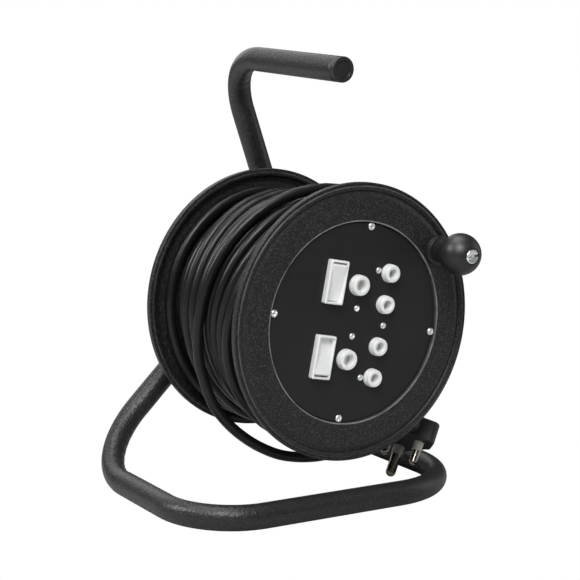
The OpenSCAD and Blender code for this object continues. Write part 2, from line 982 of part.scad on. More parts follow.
// Grey sleeves round the roots of the three pins
module plug_pin_collars() {
    color("darkgray")
        in_plug()
            for (p = [[0, earth_pin_gap, earth_pin_d / 2, 5.2],
                    [-line_pin_gap / 2, 0, line_pin_d / 2, 4.4],
                    [line_pin_gap / 2, 0, line_pin_d / 2, 4.4]])
                translate([p[0], p[1], -collar_l])
                    difference() {
                        cylinder(h = collar_l + 5.5, r = p[3]);
                        translate([0, 0, -1])
                            cylinder(h = collar_l + 8, r = p[2] - root_step / 2 + 0.03);
                    }
}

frame_tube();
handle_end_cap();
foot_end_cap();
axle();
axle_spacer();
axle_washers();
axle_circlip();
hub();
hub_bushes();
hub_screws();
rear_flange();
rear_flange_screws();
drum_barrel();
front_flange();
socket_panel();
panel_screws();
upper_socket();
lower_socket();
upper_socket_contacts();
lower_socket_contacts();
socket_screws();
upper_switch();
lower_switch();
upper_rocker();
lower_rocker();
switch_terminals();
cord_grommet();
cord_clamp();
live_wire();
neutral_wire();
earth_wire();
knob_base();
knob_grip();
knob_spindle();
knob_nut();
cord_core();
cord_winding();
cord_tail();
plug_cord_grip();
plug_base();
plug_cover();
plug_screw();
plug_earth_pin();
plug_live_pin();
plug_neutral_pin();
plug_pin_collars();
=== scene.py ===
# Extension cord reel: a cord wound on a pressed steel drum, which turns in a bent tube stand.
# Metres, in the frame of the CAD model; sizes are written in millimetres times mm.
from math import asin, atan2, cos, degrees, hypot, pi, radians, sin, sqrt, tan

import bmesh
import bpy
from mathutils import Matrix, Vector


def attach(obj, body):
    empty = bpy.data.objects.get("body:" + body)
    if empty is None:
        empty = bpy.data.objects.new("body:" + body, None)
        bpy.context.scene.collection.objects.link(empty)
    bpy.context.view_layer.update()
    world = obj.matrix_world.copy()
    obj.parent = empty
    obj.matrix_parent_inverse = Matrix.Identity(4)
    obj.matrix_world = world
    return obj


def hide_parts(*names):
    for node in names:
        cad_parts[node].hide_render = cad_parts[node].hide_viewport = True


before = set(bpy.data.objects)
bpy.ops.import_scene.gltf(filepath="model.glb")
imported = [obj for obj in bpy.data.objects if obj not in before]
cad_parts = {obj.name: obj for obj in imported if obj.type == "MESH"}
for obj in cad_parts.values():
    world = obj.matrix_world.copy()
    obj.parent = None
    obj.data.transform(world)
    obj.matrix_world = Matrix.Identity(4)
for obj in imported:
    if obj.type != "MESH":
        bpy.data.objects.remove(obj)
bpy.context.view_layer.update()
mm = 0.001


# ---------- camera, floor and light ----------
# A long lens stands at the left of the sockets, a little above the drum's axle. The reel is on
# a white sheet under large soft lamps, with a white wall all round, both lit until they burn out.
def in_scene(name, data):
    made = bpy.data.objects.new(name, data)
    bpy.context.scene.collection.objects.link(made)
    return made


def spin(angle, axis):
    return Matrix.Rotation(radians(angle), 4, axis)


camera = in_scene("camera", bpy.data.cameras.new("camera"))
camera.data.lens = 93.185
camera.data.sensor_width = 36
camera.data.clip_start = 0.05
camera.matrix_world = (
    Matrix.Translation((-0.67579, -1.02316, 0.36050))
    @ spin(-33.284, "Z") @ spin(90 - 8.851, "X") @ spin(1.749, "Z")
)
bpy.context.scene.camera = camera
bpy.context.scene.view_settings.view_transform = "Standard"


def preset(node, **values):
    """A node with some of its inputs set; a name is written with _ for its spaces."""
    for socket, value in values.items():
        node.inputs[socket.replace("_", " ")].default_value = value
    return node


def link(tree, *pairs):
    for a, b in pairs:
        tree.links.new(a, b)


def material(name, **fixed):
    """A material with one Principled shader, whose even values stand on its own sockets."""
    made = bpy.data.materials.new(name)
    made.use_nodes = True
    return made, made.node_tree, preset(made.node_tree.nodes["Principled BSDF"], **fixed)


sheet_white, sheet_tree, sheet_shader = material(
    "sheet_white", Base_Color=(0.45, 0.45, 0.45, 1), Roughness=0.9)
burnt_out = sheet_tree.nodes.new("ShaderNodeEmission")
seen = sheet_tree.nodes.new("ShaderNodeLightPath")
shown = sheet_tree.nodes.new("ShaderNodeMixShader")
link(sheet_tree, (seen.outputs["Is Camera Ray"], shown.inputs[0]),
     (sheet_shader.outputs[0], shown.inputs[1]), (burnt_out.outputs[0], shown.inputs[2]),
     (shown.outputs[0], sheet_tree.nodes["Material Output"].inputs["Surface"]))
floor_mesh = bpy.data.meshes.new("floor")
floor_mesh.from_pydata([(-6, -6, 0), (6, -6, 0), (6, 6, 0), (-6, 6, 0)], [], [(0, 1, 2, 3)])
floor_mesh.materials.append(sheet_white)
in_scene("floor", floor_mesh)

wall = bpy.data.worlds.new("white_wall")
wall.use_nodes = True
bpy.context.scene.world = wall
wall_nodes = wall.node_tree.nodes
seen = wall_nodes.new("ShaderNodeLightPath")
glow = preset(wall_nodes.new("ShaderNodeMapRange"), To_Min=0.07, To_Max=1.0)
background = preset(wall_nodes["Background"], Color=(1, 1, 1, 1))
link(wall.node_tree, (seen.outputs["Is Camera Ray"], glow.inputs["Value"]),
     (glow.outputs["Result"], background.inputs["Strength"]))


def lamp(name, place, width, height, power, aim=(0, 0, 0.15)):
    light = bpy.data.lights.new(name, "AREA")
    light.shape = "RECTANGLE"
    light.size, light.size_y, light.energy = width, height, power
    way = (Vector(aim) - Vector(place)).to_track_quat("-Z", "Y").to_matrix().to_4x4()
    in_scene(name, light).matrix_world = Matrix.Translation(place) @ way


lamp("lamp_left", (-1.5, 0.45, 1.15), 0.5, 0.7, 20)
lamp("lamp_over_left", (-0.9, -1.05, 1.5), 0.9, 0.9, 33)
lamp("lamp_above", (-0.1, 0.25, 1.7), 1.2, 1.0, 17, aim=(0, 0, 0.1))
lamp("lamp_right", (1.5, -0.5, 0.6), 0.9, 1.2, 4)
lamp("lamp_behind", (0.2, 1.6, 0.9), 1.4, 1.0, 8)


# ---------- cord: the free end ----------
# Black round flexible cord with a satin PVC sheath, drawn lengthwise from the extruder. It
# leaves the drum at its left side, sags across under it and rises into the plug.
cord_d = 8.6 * mm
tail_route = [
    (-93, -6, 153.7), (-93, -4.4, 142), (-92.4, -4, 127), (-90.2, -5.4, 111.5), (-86, -7.7, 96.5),
    (-80, -10, 82), (-71.6, -13, 70), (-62.5, -17.5, 60.2), (-52.6, -23, 52.1), (-42.8, -29, 46.2),
    (-32.5, -35, 42), (-22, -40.5, 40.2), (-11, -46, 40), (0.5, -51.5, 41.5), (13, -56.5, 44.3),
    (26, -60.4, 47.8), (39, -62.9, 51.7), (50.4, -64.3, 55.7), (59.9, -64.2, 59),
    (68.4, -62.4, 60.9), (76.4, -59.1, 61.5), (83.6, -54.5, 60.7), (89.9, -48.9, 58.5),
    (95, -42.4, 55.1),
]


def smooth_line(points, steps):
    """A Catmull-Rom curve through points, with steps points to each of them."""
    p = [Vector(q) * mm for q in points]
    line = []
    for i in range(len(p) - 1):
        a, b, c, d = p[max(i - 1, 0)], p[i], p[i + 1], p[min(i + 2, len(p) - 1)]
        for k in range(steps):
            t = k / steps
            line.append(0.5 * (2 * b + (c - a) * t + (2 * a - 5 * b + 4 * c - d) * t * t
                               + (3 * b - a - 3 * c + d) * t ** 3))
    return line + [p[-1]]


def length_of(line):
    return sum((b - a).length for a, b in zip(line, line[1:]))


def piece(name, mesh, finish, body, *stands_for):
    """A finished piece: its mesh stands where the piece is, and it rides on a body. Its one slot
    holds its finish."""
    mesh.materials.clear()
    mesh.materials.append(finish)
    mesh.polygons.foreach_set("use_smooth", [True] * len(mesh.polygons))
    made = in_scene(name, mesh)
    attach(made, body)
    if stands_for:
        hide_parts(*stands_for)
    return made


def node_in(tree, kind, **settings):
    made = tree.nodes.new(kind)
    for key, value in settings.items():
        setattr(made, key, value)
    return made


def sums(tree, operation, a, b=None):
    """A maths node on sockets or numbers, and its result."""
    made = node_in(tree, "ShaderNodeMath", operation=operation)
    for place, value in enumerate((a, b)):
        if isinstance(value, (int, float)):
            made.inputs[place].default_value = value
        elif value is not None:
            tree.links.new(value, made.inputs[place])
    return made.outputs[0]


def group(kind, name, takes, gives):
    """A node group, and the sockets inside it for what it takes and what it gives."""
    tree = bpy.data.node_groups.new(name, kind + "NodeTree")
    for way, sockets in (("INPUT", takes), ("OUTPUT", gives)):
        for socket, sort in sockets.items():
            tree.interface.new_socket(socket, in_out=way, socket_type="NodeSocket" + sort)
    return tree, tree.nodes.new("NodeGroupInput").outputs, tree.nodes.new("NodeGroupOutput").inputs


# Geometry Nodes: a sheath of round section along a line. Each point keeps how far along and
# where round the sheath it is, for the streaks of the finish.
sheath, takes, gives = group(
    "Geometry", "cord_sheath",
    {"Geometry": "Geometry", "Diameter": "Float", "Sides": "Int", "Finish": "Material"},
    {"Geometry": "Geometry"})
to_curve = sheath.nodes.new("GeometryNodeMeshToCurve")
ring = node_in(sheath, "GeometryNodeCurvePrimitiveCircle", mode="RADIUS")
far_along, far_round = (sheath.nodes.new("GeometryNodeSplineParameter") for _ in range(2))
keep_along, keep_round = (
    node_in(sheath, "GeometryNodeCaptureAttribute", domain="POINT") for _ in range(2))
for keep in (keep_along, keep_round):
    keep.capture_items.new("FLOAT", "Kept")
swept_tube = preset(sheath.nodes.new("GeometryNodeCurveToMesh"), Fill_Caps=True)
radius = sums(sheath, "MULTIPLY", takes["Diameter"], 0.5)
turn_share = sums(sheath, "MULTIPLY", keep_round.outputs["Kept"], 2 * pi)
on_sheath = sheath.nodes.new("ShaderNodeCombineXYZ")
store = preset(node_in(sheath, "GeometryNodeStoreNamedAttribute", data_type="FLOAT_VECTOR",
                       domain="POINT"), Name="on_sheath")
real = sheath.nodes.new("GeometryNodeRealizeInstances")
coat = sheath.nodes.new("GeometryNodeSetMaterial")
link(
    sheath, (takes["Geometry"], to_curve.inputs[0]),
    (to_curve.outputs[0], keep_along.inputs["Geometry"]),
    (far_along.outputs["Length"], keep_along.inputs["Kept"]),
    (takes["Sides"], ring.inputs["Resolution"]),
    (radius, ring.inputs["Radius"]), (ring.outputs["Curve"], keep_round.inputs["Geometry"]),
    (far_round.outputs["Factor"], keep_round.inputs["Kept"]),
    (keep_along.outputs["Geometry"], swept_tube.inputs["Curve"]),
    (keep_round.outputs["Geometry"], swept_tube.inputs["Profile Curve"]),
    (keep_along.outputs["Kept"], on_sheath.inputs["X"]),
    (sums(sheath, "MULTIPLY", radius, sums(sheath, "COSINE", turn_share)), on_sheath.inputs["Y"]),
    (sums(sheath, "MULTIPLY", radius, sums(sheath, "SINE", turn_share)), on_sheath.inputs["Z"]),
    (swept_tube.outputs[0], store.inputs["Geometry"]),
    (on_sheath.outputs[0], store.inputs["Value"]),
    (store.outputs[0], real.inputs[0]), (real.outputs[0], coat.inputs["Geometry"]),
    (takes["Finish"], coat.inputs["Material"]), (coat.outputs[0], gives["Geometry"]))


def plain_mesh(bare):
    """The mesh that an object's modifiers make; the object itself goes."""
    solid = bpy.data.meshes.new_from_object(
        bare.evaluated_get(bpy.context.evaluated_depsgraph_get()))
    bpy.data.objects.remove(bare)
    return solid


def grown(mesh, tree, **values):
    """The plain mesh that a Geometry Nodes tree makes from a mesh, with its named inputs set."""
    bare = in_scene("bare", mesh)
    growth = bare.modifiers.new("growth", "NODES")
    growth.node_group = tree
    for item in tree.interface.items_tree:
        if item.in_out == "INPUT" and item.name in values:
            growth[item.identifier] = values[item.name]
    return plain_mesh(bare)


def line_mesh(line):
    made = bpy.data.meshes.new("line")
    made.from_pydata(line, [(i, i + 1) for i in range(len(line) - 1)], [])
    return made


def blend(tree, share, one, two):
    """A mix of two colours by a share, and its result; the second colour may be a value."""
    made = node_in(tree, "ShaderNodeMix", data_type="RGBA")
    link(tree, (share, made.inputs["Factor"]), (one, made.inputs[6]))
    if isinstance(two, tuple):
        made.inputs[7].default_value = two
    else:
        link(tree, (two, made.inputs[7]))
    return made.outputs[2]


# Shader groups that the finishes share. Grain is a field of soft cells with finer noise in it;
# tone is a slow change of colour and roughness, as from handling and dust.
grain, takes, gives = group(
    "Shader", "grain", {"Vector": "Vector", "Cells": "Float", "Share": "Float"},
    {"Height": "Float", "Fleck": "Float"})
soft_cells = preset(node_in(grain, "ShaderNodeTexVoronoi", feature="SMOOTH_F1"), Smoothness=0.6)
fine = preset(grain.nodes.new("ShaderNodeTexNoise"), Detail=4)
coarse_part = sums(grain, "MULTIPLY", soft_cells.outputs["Distance"], takes["Share"])
fine_part = sums(grain, "MULTIPLY", fine.outputs[0], sums(grain, "SUBTRACT", 1.0, takes["Share"]))
above = sums(grain, "DIVIDE", sums(grain, "SUBTRACT", fine.outputs[0], 0.5), 0.2)
link(grain, (takes["Vector"], soft_cells.inputs["Vector"]),
     (takes["Vector"], fine.inputs["Vector"]), (takes["Cells"], soft_cells.inputs["Scale"]),
     (sums(grain, "MULTIPLY", takes["Cells"], 1.9), fine.inputs["Scale"]),
     (sums(grain, "ADD", coarse_part, fine_part), gives["Height"]),
     (sums(grain, "MINIMUM", sums(grain, "MAXIMUM", above, 0.0), 1.0), gives["Fleck"]))

tone, takes, gives = group(
    "Shader", "tone",
    {"Vector": "Vector", "Scale": "Float", "Colour": "Color", "Dust": "Color", "Dusty": "Float",
     "Roughness": "Float", "Spread": "Float"},
    {"Colour": "Color", "Roughness": "Float"})
slow = preset(tone.nodes.new("ShaderNodeTexNoise"), Detail=5, Roughness=0.62)
quick = preset(tone.nodes.new("ShaderNodeTexNoise"), Detail=3)
for texture, times in ((slow, 1.0), (quick, 9.0)):
    link(tone, (takes["Vector"], texture.inputs["Vector"]),
         (sums(tone, "MULTIPLY", takes["Scale"], times), texture.inputs["Scale"]))
settled = sums(tone, "MULTIPLY", sums(tone, "POWER", slow.outputs[0], 2.2), takes["Dusty"])
off_level = sums(tone, "SUBTRACT", sums(
    tone, "ADD", sums(tone, "MULTIPLY", slow.outputs[0], 0.7),
    sums(tone, "MULTIPLY", quick.outputs[0], 0.3)), 0.5)
spread_out = sums(tone, "MULTIPLY", off_level, takes["Spread"])
link(tone, (blend(tone, settled, takes["Colour"], takes["Dust"]), gives["Colour"]),
     (sums(tone, "ADD", takes["Roughness"], spread_out), gives["Roughness"]))


def finish(name, colour, rough, cells, spread=0.2, dust=(0.2, 0.2, 0.2), dusty=0.1, scale=14.0,
           share=0.5, bump=0.0, depth=0.1, fleck=None, stretch=None, along=None, **fixed):
    """A material made of the shared groups: cells is how many grains lie along a metre, bump
    and depth (in mm) how strong they are, fleck the colour of their tops, stretch how much
    more often they come along each axis, and along the name of an attribute to read."""
    made, tree, shader = material(name, **fixed)
    if along:
        source = node_in(tree, "ShaderNodeAttribute", attribute_name=along).outputs["Vector"]
    else:
        source = tree.nodes.new("ShaderNodeTexCoord").outputs["Object"]
    if stretch:
        mapping = preset(tree.nodes.new("ShaderNodeMapping"), Scale=stretch)
        link(tree, (source, mapping.inputs["Vector"]))
        source = mapping.outputs[0]
    shade = preset(node_in(tree, "ShaderNodeGroup", node_tree=tone), Scale=scale,
                   Colour=(*colour, 1), Dust=(*dust, 1), Dusty=dusty, Roughness=rough,
                   Spread=spread)
    grains = preset(node_in(tree, "ShaderNodeGroup", node_tree=grain), Cells=cells, Share=share)
    raised = preset(tree.nodes.new("ShaderNodeBump"), Strength=bump, Distance=depth * mm)
    shown = shade.outputs["Colour"]
    if fleck:
        shown = blend(tree, grains.outputs["Fleck"], shown, (*fleck, 1))
    link(tree, (source, shade.inputs["Vector"]), (source, grains.inputs["Vector"]),
         (shown, shader.inputs["Base Color"]),
         (shade.outputs["Roughness"], shader.inputs["Roughness"]),
         (grains.outputs["Height"], raised.inputs["Height"]),
         (raised.outputs["Normal"], shader.inputs["Normal"]))
    return made


cord_black = finish(
    "cord_black", (0.006, 0.0063, 0.0065), 0.34, dust=(0.045, 0.047, 0.047), dusty=0.14, scale=60,
    cells=900, share=0.15, bump=0.35, depth=0.05, along="on_sheath", stretch=(0.12, 1, 1),
    Specular_IOR_Level=0.3)

# The route's last three points lie in the plug's taper.
grip_points, tail_steps = 3, 8
tail_line = smooth_line(tail_route, tail_steps)
grip_from = (len(tail_route) - 1 - grip_points) * tail_steps
tail_cord = tail_line[:grip_from + 1]
free_end = piece(
    "cord_free_end",
    grown(line_mesh(tail_cord), sheath, Diameter=cord_d, Sides=16, Finish=cord_black),
    cord_black, "stand", "cord_tail")


# ---------- cord: the winding ----------
# The rest of the same cord in one length: two close layers on the barrel, then the loose slanting
# turns that show, some slack at the bottom, and a last turn that crosses back over them.
axle_at = Vector((9.5, -76, 153.7))
layer_r = (75.85, 84.5, 93.2, 102.5)
layers_front, first_rear, second_rear = 11.5, 126, 132.5
turn_places = [(136, 134.5), (108.5, 106.5), (97, 95), (83, 84.5), (60, 73), (49, 63),
               (31, 53.5), (21.5, 43.5), (12, 34)]
upper_left, lower_left = 1 / 12, 11 / 36
outer_turns = len(turn_places) - 1
crossing_starts, all_turns = outer_turns + lower_left, outer_turns + 1.25
crossing_from, tail_leaves = turn_places[-1][1], 70
second_starts, winding_starts, climb = -13.85, -26.69, 0.25
sunk_end, sunk_over = 6, 0.12
slack_turns, slack = (0, 1, 2, 5, 6), 6
passed = [(i + at, y) for i, pair in enumerate(turn_places)
          for at, y in zip((upper_left, lower_left), pair)]
passed += [(crossing_starts + share * (all_turns - crossing_starts),
            crossing_from + (tail_leaves - crossing_from) * share ** 3)
           for share in (0.25, 0.5, 0.7, 0.85, 1.0)]


def eased(x):
    x = min(max(x, 0), 1)
    return (1 - cos(pi * x)) / 2


def between_places(t):
    """The place along the axle after t outer turns, on a smooth curve through the passes."""
    i = max(k for k in range(len(passed) - 1) if passed[k][0] <= t + 1e-9 or k == 0)
    (t0, y0), (t1, y1) = passed[i], passed[i + 1]
    slopes = []
    for k in (i, i + 1):
        (ta, ya), (tb, yb) = passed[max(k - 1, 0)], passed[min(k + 1, len(passed) - 1)]
        slopes.append((yb - ya) / (tb - ta))
    u, w = (t - t0) / (t1 - t0), t1 - t0
    if t < t0:
        return y0
    return ((2 * u ** 3 - 3 * u * u + 1) * y0 + (u ** 3 - 2 * u * u + u) * w * slopes[0]
            + (3 * u * u - 2 * u ** 3) * y1 + (u ** 3 - u * u) * w * slopes[1])


def wound(t):
    """A point of the winding after t outer turns; hidden turns have t below zero."""
    r = layer_r[0] - sunk_end * (1 - eased((t - winding_starts) / sunk_over))
    r += (layer_r[1] - layer_r[0]) * eased((t - second_starts) / climb)
    r += (layer_r[2] - layer_r[1]) * eased((t + climb) / climb)
    r += (layer_r[3] - layer_r[2]) * eased(2 * (t - outer_turns + upper_left))
    if t > 0:
        y = between_places(t)
    elif t > -climb:
        y = second_rear + (turn_places[0][0] - second_rear) * eased((t + climb) / climb)
    elif t > second_starts + climb:
        y = layers_front + (second_rear - layers_front) * (
            t - second_starts - climb) / (-climb - second_starts - climb)
    elif t > second_starts:
        y = layers_front
    else:
        y = first_rear - (first_rear - layers_front) * (
            t - winding_starts) / (second_starts - winding_starts)
    a = radians(90 + 360 * t)
    if t > 0 and int(t) in slack_turns:
        r += slack * max(0, -sin(a)) ** 2
    return (axle_at + Vector((r * cos(a), y, r * sin(a)))) * mm


turn_points = 48
first = round(winding_starts * turn_points)
last = round(all_turns * turn_points)
winding_line = [wound(k / turn_points) for k in range(first, last + 1)]
winding = piece(
    "cord_on_drum",
    grown(line_mesh(winding_line), sheath, Diameter=cord_d, Sides=14, Finish=cord_black),
    cord_black, "drum", "cord_winding", "cord_core")
print("cord on the drum", round(length_of(winding_line), 2), "m, free end",
      round(length_of(tail_line), 3), "m")


# ---------- stand: the tube ----------
# One length of steel tube in thick black hammer-finish paint. The bender flattens it a little
# in each bend and leaves fine creases on the inside of the two tightest.
tube_r = 10.15
corners = [Vector(c) for c in (
    (-5, -64, 351.6), (-5, 110, 359.6), (55.8, 110, 201.3), (-131, 110, 10.15),
    (-131, -82, 10.15), (131, -82, 10.15), (131, 98, 10.15))]
bend_radii = (0, 50, 50, 64, 56, 74, 0)
creases = (0, 0.22, 0.0, 0.30, 0, 0, 0)
flattened, crease_waves, finer_waves = 0.11, 9, 23


def bent_line(step):
    """Points along the tube: place, way, side towards the bend's centre, share of the bend."""
    out = []
    cursor = corners[0]
    for i in range(1, len(corners)):
        a, c = corners[i - 1], corners[i]
        u = (c - a).normalized()
        if i == len(corners) - 1:
            end = c
        else:
            v = (corners[i + 1] - c).normalized()
            turn = u.angle(v)
            end = c - u * bend_radii[i] * tan(turn / 2)
        count = max(2, round((end - cursor).length / step))
        out += [(cursor.lerp(end, k / count), u, None, 0, 0) for k in range(count)]
        if i < len(corners) - 1:
            side = (v - u * u.dot(v)).normalized()
            centre = end + side * bend_radii[i]
            count = max(8, round(bend_radii[i] * turn / 1.1))
            for k in range(count + 1):
                a = turn * k / count
                way = u * cos(a) + side * sin(a)
                inwards = side * cos(a) - u * sin(a)
                out.append((centre - inwards * bend_radii[i], way, inwards, k / count, i))
            cursor = out.pop()[0]
    out.append((corners[-1], out[-1][1], None, 0, 0))
    return out


def skin(solid, rows):
    """Faces between neighbouring closed rows of points."""
    for one, two in zip(rows, rows[1:]):
        for k in range(len(one)):
            j = (k + 1) % len(one)
            solid.faces.new((one[k], one[j], two[j], two[k]))


def outward(solid):
    bmesh.ops.recalc_face_normals(solid, faces=solid.faces)


def mesh_of(solid, name):
    """The mesh of a finished solid."""
    made = bpy.data.meshes.new(name)
    solid.to_mesh(made)
    solid.free()
    return made


tube_sides = 48
tube = bmesh.new()
rings = []
across = Vector((1, 0, 0))
for place, way, inwards, share, bend in bent_line(4.0):
    across = (across - way * across.dot(way)).normalized()
    up = way.cross(across)
    flat = flattened * sin(pi * share) ** 0.6 if inwards else 0
    ring_points = []
    for k in range(tube_sides):
        a = 2 * pi * k / tube_sides
        out_way = across * cos(a) + up * sin(a)
        r = tube_r
        if inwards:
            inner = out_way.dot(inwards)
            r *= 1 - flat * inner * inner * (0.55 if inner < 0 else 1.0)
            if creases[bend] and inner > 0.2:
                wave = sin(share * 2 * pi * crease_waves)
                wave += 0.4 * sin(share * 2 * pi * finer_waves + 1)
                r += creases[bend] * wave * (inner - 0.2) * sin(pi * share) ** 2
        ring_points.append(tube.verts.new((place + out_way * r) * mm))
    rings.append(ring_points)
skin(tube, rings)
tube.faces.new(rings[0][::-1])
tube.faces.new(rings[-1])
outward(tube)
hammered_black = finish(
    "hammered_black", (0.012, 0.012, 0.013), 0.40, spread=0.24, dust=(0.06, 0.06, 0.062),
    dusty=0.14, scale=9, cells=420, share=0.6, bump=1.0, depth=0.45,
    fleck=(0.035, 0.035, 0.037), Specular_IOR_Level=0.42)
piece("stand_tube", mesh_of(tube, "tube"), hammered_black, "stand", "frame_tube")


# ---------- stand: end caps ----------
# Two moulded black plugs, pushed into the tube's ends. Each has a rim round a shallow dish.
def rounded(profile, radius, steps=4):
    """A closed outline with its corners rounded, none by more than its sides allow."""
    out = []
    count = len(profile)
    for i, corner in enumerate(profile):
        c = Vector(corner[:2])
        limit = corner[2] if len(corner) > 2 else radius
        a, b = Vector(profile[i - 1][:2]), Vector(profile[(i + 1) % count][:2])
        u, v = (a - c), (b - c)
        reach = min(u.length, v.length) * 0.45
        half = u.angle(v) / 2
        size = min(limit, reach * tan(half))
        if size < 0.02 or half > radians(85):
            out.append(c)
            continue
        back = size / tan(half)
        middle = c + (u.normalized() + v.normalized()).normalized() * (size / sin(half))
        start, end = c + u.normalized() * back - middle, c + v.normalized() * back - middle
        for k in range(steps + 1):
            share = k / steps
            arm = (start * sin((1 - share) * start.angle(end))
                   + end * sin(share * start.angle(end))) / sin(start.angle(end))
            out.append(middle + arm)
    return out


def settled_mesh(mesh, *changes):
    """A mesh with modifiers applied to it, each given as its kind and its settings."""
    bare = in_scene("bare", mesh)
    for number, (kind, settings) in enumerate(changes):
        change = bare.modifiers.new("change" + str(number), kind)
        for key, value in settings.items():
            setattr(change, key, value)
    return plain_mesh(bare)


def smoothed(mesh, *changes):
    """A mesh shaded smooth between its flat faces, after other modifiers."""
    mesh.polygons.foreach_set("use_smooth", [True] * len(mesh.polygons))
    return settled_mesh(mesh, *changes, ("WEIGHTED_NORMAL", {"keep_sharp": True, "weight": 80}))


def polar(r, a):
    return r * cos(a), r * sin(a)


def moved(x, y, z):
    """A shift given in mm."""
    return Matrix.Translation(Vector((x, y, z)) * mm)


to_metres = Matrix.Scale(mm, 4)


def turned(profile, segments, place):
    """A closed outline of radius and distance, in mm, turned round the Z axis of a place."""
    solid = bmesh.new()
    rows = [[solid.verts.new((*polar(r, 2 * pi * k / segments), h)) for k in range(segments)]
            for r, h in profile]
    skin(solid, rows + rows[:1])
    bmesh.ops.remove_doubles(solid, verts=solid.verts, dist=1e-4)
    bmesh.ops.dissolve_degenerate(solid, edges=solid.edges, dist=1e-5)
    outward(solid)
    bmesh.ops.transform(solid, matrix=place @ to_metres, verts=solid.verts)
    return smoothed(mesh_of(solid, "turned"))


def standing(at, way):
    """The matrix that puts Z along a way, at a point given in mm."""
    return moved(*at) @ Vector(way).to_track_quat("Z", "Y").to_matrix().to_4x4()


cap_plastic = finish(
    "cap_plastic", (0.014, 0.014, 0.014), 0.42, dust=(0.08, 0.08, 0.08), dusty=0.12, scale=40,
    cells=1500, bump=0.3, depth=0.04)
cap_head, cap_dish, cap_skirt = 3, 1.4, 16
cap_outline = rounded([
    (0, cap_dish - cap_head), (7.2, cap_dish - cap_head, 0.5), (7.4, -cap_head, 0.4),
    (tube_r, -cap_head, 0.9), (tube_r, -0.15, 0.3), (8.6, -0.05), (8.6, cap_skirt),
    (6.9, cap_skirt), (6.9, 3), (0, 3)], 0.3)
for name, at, way, node in (
    ("cap_in_handle", corners[0], corners[1] - corners[0], "handle_end_cap"),
    ("cap_in_foot", corners[6], corners[5] - corners[6], "foot_end_cap"),
):
    piece(name, turned(cap_outline, 64, standing(at, way)), cap_plastic, "stand",
          node)


# ---------- stand: axle, its weld, spacer, washers and circlip ----------
# A bright zinc-plated bar, welded through the leg. The drum is held on it between two washers
# by a spring ring, and a sleeve keeps it off the leg.
def dress(coat_of, *nodes):
    """Gives CAD nodes a finish by their material slots."""
    for node in nodes:
        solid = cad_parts[node]
        if not solid.material_slots:
            solid.data.materials.append(coat_of)
        for slot in solid.material_slots:
            slot.material = coat_of


bright_zinc = finish(
    "bright_zinc", (0.56, 0.57, 0.58), 0.30, spread=0.25, dust=(0.34, 0.33, 0.30), dusty=0.5,
    scale=30, cells=700, share=0.2, bump=0.12, depth=0.05, stretch=(1, 8, 1), Metallic=1.0)
spring_steel = finish(
    "spring_steel", (0.12, 0.12, 0.13), 0.35, dust=(0.2, 0.17, 0.14), dusty=0.4, scale=50,
    cells=900, share=0.3, bump=0.2, depth=0.04, Metallic=1.0)
dress(bright_zinc, "axle", "axle_spacer", "axle_washers", "hub")
dress(spring_steel, "axle_circlip")


def tube_along(line, radii, sides, closed=False):
    """A tube through points, in metres, with a radius at each."""
    solid = bmesh.new()
    count = len(line)
    side = Vector((0.01, 0.02, 1))
    rows = []
    for i, p in enumerate(line):
        ahead = line[(i + 1) % count] if closed else line[min(i + 1, count - 1)]
        way = (ahead - (line[i - 1] if closed else line[max(i - 1, 0)])).normalized()
        side = (side - way * side.dot(way)).normalized()
        up = way.cross(side)
        rows.append([solid.verts.new(p + radii[i] * (side * cos(2 * pi * k / sides)
                                                     + up * sin(2 * pi * k / sides)))
                     for k in range(sides)])
    skin(solid, rows + (rows[:1] if closed else []))
    if not closed:
        solid.faces.new(rows[0][::-1])
        solid.faces.new(rows[-1])
    outward(solid)
    return mesh_of(solid, "tube_along")


leg_way = (corners[3] - corners[2]).normalized()
bead, bead_r = [], []
axle_r, leg_y, bead_steps = 8.6, corners[2].y, 120
for k in range(bead_steps):
    a = 2 * pi * k / bead_steps
    w = Vector((axle_r * cos(a), 0, axle_r * sin(a)))
    off = (w - leg_way * w.dot(leg_way)).length
    bead.append(Vector((axle_at.x + w.x, leg_y + sqrt(tube_r ** 2 - off ** 2) - 0.3,
                        axle_at.z + w.z)) * mm)
    bead_r.append((1.7 + 0.28 * sin(a * 19) + 0.15 * sin(a * 7 + 1)) * mm)
piece("axle_weld", tube_along(bead, bead_r, 12, closed=True), hammered_black, "stand")


# ---------- drum: flanges and barrel ----------
# Two discs pressed from steel sheet, with a sunk middle, a groove and a rolled rim, in black
# leather-grain powder coat, on a plain painted barrel that the cord covers.
drum_turned, drum_w = 9.45, 142.7
in_drum = moved(*axle_at) @ spin(drum_turned, "Y")
well_r, well_y, flange_r = 80.6, 4.1, 111.5
roll_at, roll_r = 107.4, 2.9


def arc(x, y, r, angles):
    """Corners of an outline on a circle, at angles in degrees."""
    return [(x + r * cos(radians(a)), y + r * sin(radians(a)), 0)
            for a in angles]


def flange_outline(hole_r):
    """The section of the front flange, from its hole out over its face and back behind it."""
    bead = arc(roll_at, roll_r, roll_r, range(-156, -60, 8))
    back = arc(roll_at, roll_r, roll_r, range(90, 149, 8))
    return rounded(
        [(hole_r, well_y), (well_r, well_y, 0.5), (well_r, 0, 0.7), (100.4, 0, 6),
         (104.7, 1.85, 0.3)]
        + bead + [(109.2, 1.0, 0.2), (109.8, 1.0, 0.2), (110.2, 0.5, 0.2), (flange_r, 0.6, 0.7),
                  (flange_r, 5.8, 0.8)]
        + back + [(104.8, 3.1, 0.3), (100.1, 1.2, 5), (81.8, 1.2, 0.8),
                  (81.8, 5.3, 1.4), (hole_r, 5.3)], 0.4)
